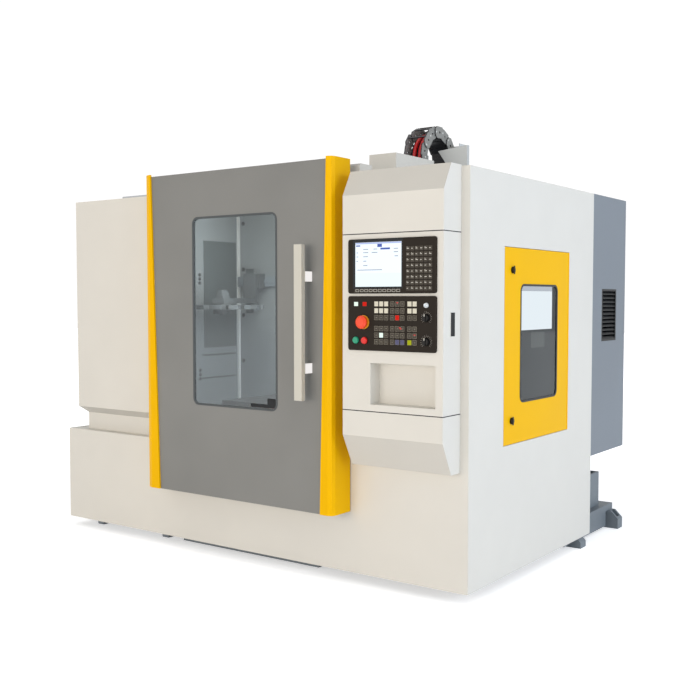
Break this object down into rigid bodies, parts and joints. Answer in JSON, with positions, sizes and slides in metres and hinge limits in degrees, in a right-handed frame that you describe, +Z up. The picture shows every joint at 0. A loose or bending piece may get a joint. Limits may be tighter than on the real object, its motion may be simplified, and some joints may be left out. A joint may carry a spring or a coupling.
{
  "type": "cnc machining center",
  "caption": "Vertical machining centre in a sheet-steel enclosure: sliding front door with window, side service door, operator box, rear electrical cabinet and a drag chain over the roof.",
  "frame": {"origin": "middle of the footprint, at floor level under the levelling lugs", "axes": "+Z up, +X to the operator's right, -Y towards the operator"},
  "size_m": [3.352, 2.59, 2.917],
  "materials": {
    "cast_grey": "painted satin",
    "bed_paint": "painted satin",
    "steel": "ground",
    "motor_black": "painted satin",
    "cream_paint": "fine texture",
    "yellow_paint": "satin",
    "grey_paint": "satin",
    "lining_paint": "satin",
    "cabinet_paint": "fine texture",
    "black_plastic": "matt",
    "key_plastic": "matt",
    "screen": "gloss",
    "glass": "clear",
    "gasket": "matt",
    "handle_metal": "satin anodised",
    "cover_steel": "brushed",
    "red_plastic": "gloss",
    "green_plastic": "gloss",
    "hose_red": "satin",
    "tank_paint": "satin"
  },
  "bodies": {
    "machine_frame": {"bed_casting": "bed_paint", "column_casting": "cast_grey", "axis_guides": "steel", "axis_motors": "motor_black", "front_lower_panel": "cream_paint", "front_right_panel": "cream_paint", "left_tower": "cream_paint", "left_lower_panel": "cream_paint", "right_side_panel": "cream_paint", "rear_panels": "cream_paint", "roof_panel": "cream_paint", "door_rail": "steel", "splash_lining": "lining_paint", "chain_guard": "cream_paint", "chain_rear_channel": "lining_paint", "control_box": "cream_paint", "screen_bezel": "black_plastic", "screen_glass": "screen", "membrane_keys": "key_plastic", "operator_panel": "black_plastic", "electrical_cabinet": "cabinet_paint", "cabinet_vent": "cabinet_paint", "coolant_tank": "tank_paint", "magazine_beam": "cast_grey", "way_cover_1": "cover_steel"},
    "front_door": {"door_panel": "grey_paint", "door_trims": "yellow_paint", "door_gasket": "gasket", "door_window": "glass", "door_handle": "handle_metal", "door_hangers": "steel"},
    "side_door": {"side_door_panel": "yellow_paint", "side_door_gasket": "gasket", "side_door_window": "glass"},
    "lower_latch": {"side_latch_lower": "black_plastic"},
    "upper_latch": {"side_latch_upper": "black_plastic"},
    "cabinet_door": {"cabinet_door": "cabinet_paint"},
    "saddle": {"saddle_casting": "cast_grey", "saddle_guides": "steel", "way_cover_5": "cover_steel"},
    "cover_2": {"way_cover_2": "cover_steel"},
    "cover_3": {"way_cover_3": "cover_steel"},
    "cover_4": {"way_cover_4": "cover_steel"},
    "table": {"work_table": "steel"},
    "x_screw": {"x_screw": "steel"},
    "y_screw": {"y_screw": "steel"},
    "z_screw": {"z_screw": "steel"},
    "head": {"head_casting": "cast_grey", "spindle_motor": "motor_black"},
    "spindle": {"spindle": "steel"},
    "tool_carriage": {"magazine_carriage": "motor_black"},
    "tool_disc": {"magazine_disc": "steel"},
    "cable_chain": {"drag_chain": "black_plastic", "chain_hoses": "hose_red"},
    "e_stop": {"e_stop": "red_plastic"},
    "start_button": {"start_button": "green_plastic"},
    "stop_button": {"stop_button": "red_plastic"},
    "feed_knob": {"feed_knob": "black_plastic"},
    "spindle_knob": {"spindle_knob": "black_plastic"},
    "key_switch": {"key_switch": "black_plastic"}
  },
  "joints": [
    {"name": "front_door_slide", "type": "slide", "parent": "machine_frame", "child": "front_door", "axis": [-1, 0, 0], "range_m": [0, 1]},
    {"name": "side_door_hinge", "type": "hinge", "parent": "machine_frame", "child": "side_door", "pos_m": [1.66, 0.276, 1.389], "axis": [0, 0, 1], "range_deg": [0, 110]},
    {"name": "lower_latch_turn", "type": "hinge", "parent": "side_door", "child": "lower_latch", "pos_m": [1.66, -0.526, 0.959], "axis": [1, 0, 0], "range_deg": [0, 90]},
    {"name": "upper_latch_turn", "type": "hinge", "parent": "side_door", "child": "upper_latch", "pos_m": [1.66, -0.526, 1.826], "axis": [1, 0, 0], "range_deg": [0, 90]},
    {"name": "cabinet_door_hinge", "type": "hinge", "parent": "machine_frame", "child": "cabinet_door", "pos_m": [1.66, 1.295, 1.48], "axis": [0, 0, -1], "range_deg": [0, 110]},
    {"name": "y_slide", "type": "slide", "parent": "machine_frame", "child": "saddle", "axis": [0, 1, 0], "range_m": [-0.275, 0.275]},
    {"name": "x_slide", "type": "slide", "parent": "saddle", "child": "table", "axis": [1, 0, 0], "range_m": [-0.5, 0.5]},
    {"name": "z_slide", "type": "slide", "parent": "machine_frame", "child": "head", "axis": [0, 0, 1], "range_m": [-0.6, 0]},
    {"name": "spindle_spin", "type": "hinge", "parent": "head", "child": "spindle", "pos_m": [0, -0.23, 1.7], "axis": [0, 0, 1], "continuous": true},
    {"name": "x_screw_spin", "type": "hinge", "parent": "saddle", "child": "x_screw", "pos_m": [0, -0.23, 0.726], "axis": [1, 0, 0], "continuous": true},
    {"name": "y_screw_spin", "type": "hinge", "parent": "machine_frame", "child": "y_screw", "pos_m": [0, -0.26, 0.505], "axis": [0, 1, 0], "continuous": true},
    {"name": "z_screw_spin", "type": "hinge", "parent": "machine_frame", "child": "z_screw", "pos_m": [0, 0.386, 1.73], "axis": [0, 0, 1], "continuous": true},
    {"name": "cover_2_slide", "type": "slide", "parent": "machine_frame", "child": "cover_2", "axis": [0, 1, 0], "range_m": [-0.06875, 0.06875]},
    {"name": "cover_3_slide", "type": "slide", "parent": "machine_frame", "child": "cover_3", "axis": [0, 1, 0], "range_m": [-0.1375, 0.1375]},
    {"name": "cover_4_slide", "type": "slide", "parent": "machine_frame", "child": "cover_4", "axis": [0, 1, 0], "range_m": [-0.20625, 0.20625]},
    {"name": "tool_carriage_slide", "type": "slide", "parent": "machine_frame", "child": "tool_carriage", "axis": [1, 0, 0], "range_m": [0, 0.6]},
    {"name": "tool_disc_spin", "type": "hinge", "parent": "tool_carriage", "child": "tool_disc", "pos_m": [-0.87, -0.23, 1.6], "axis": [0, 0, 1], "continuous": true},
    {"name": "cable_chain_slide", "type": "slide", "parent": "machine_frame", "child": "cable_chain", "axis": [0, 0, 1], "range_m": [-0.3, 0]},
    {"name": "e_stop_push", "type": "slide", "parent": "machine_frame", "child": "e_stop", "axis": [0, 1, 0], "range_m": [0, 0.005], "stiffness_N_per_m": 1500},
    {"name": "start_push", "type": "slide", "parent": "machine_frame", "child": "start_button", "axis": [0, 1, 0], "range_m": [0, 0.004], "stiffness_N_per_m": 600},
    {"name": "stop_push", "type": "slide", "parent": "machine_frame", "child": "stop_button", "axis": [0, 1, 0], "range_m": [0, 0.004], "stiffness_N_per_m": 600},
    {"name": "feed_knob_turn", "type": "hinge", "parent": "machine_frame", "child": "feed_knob", "pos_m": [1.512, -1.225, 1.561], "axis": [0, -1, 0], "range_deg": [-135, 135]},
    {"name": "spindle_knob_turn", "type": "hinge", "parent": "machine_frame", "child": "spindle_knob", "pos_m": [1.512, -1.225, 1.435], "axis": [0, -1, 0], "range_deg": [-135, 135]},
    {"name": "key_turn", "type": "hinge", "parent": "machine_frame", "child": "key_switch", "pos_m": [1.512, -1.225, 1.627], "axis": [0, -1, 0], "range_deg": [-90, 0]}
  ],
  "couplings": [
    {"joint": "x_screw_spin", "follows": "x_slide", "rad_per_m": -392.7},
    {"joint": "y_screw_spin", "follows": "y_slide", "rad_per_m": -392.7},
    {"joint": "z_screw_spin", "follows": "z_slide", "rad_per_m": -392.7},
    {"joint": "cover_2_slide", "follows": "y_slide", "ratio": 0.25},
    {"joint": "cover_3_slide", "follows": "y_slide", "ratio": 0.5},
    {"joint": "cover_4_slide", "follows": "y_slide", "ratio": 0.75},
    {"joint": "cable_chain_slide", "follows": "z_slide", "ratio": 0.5}
  ]
}
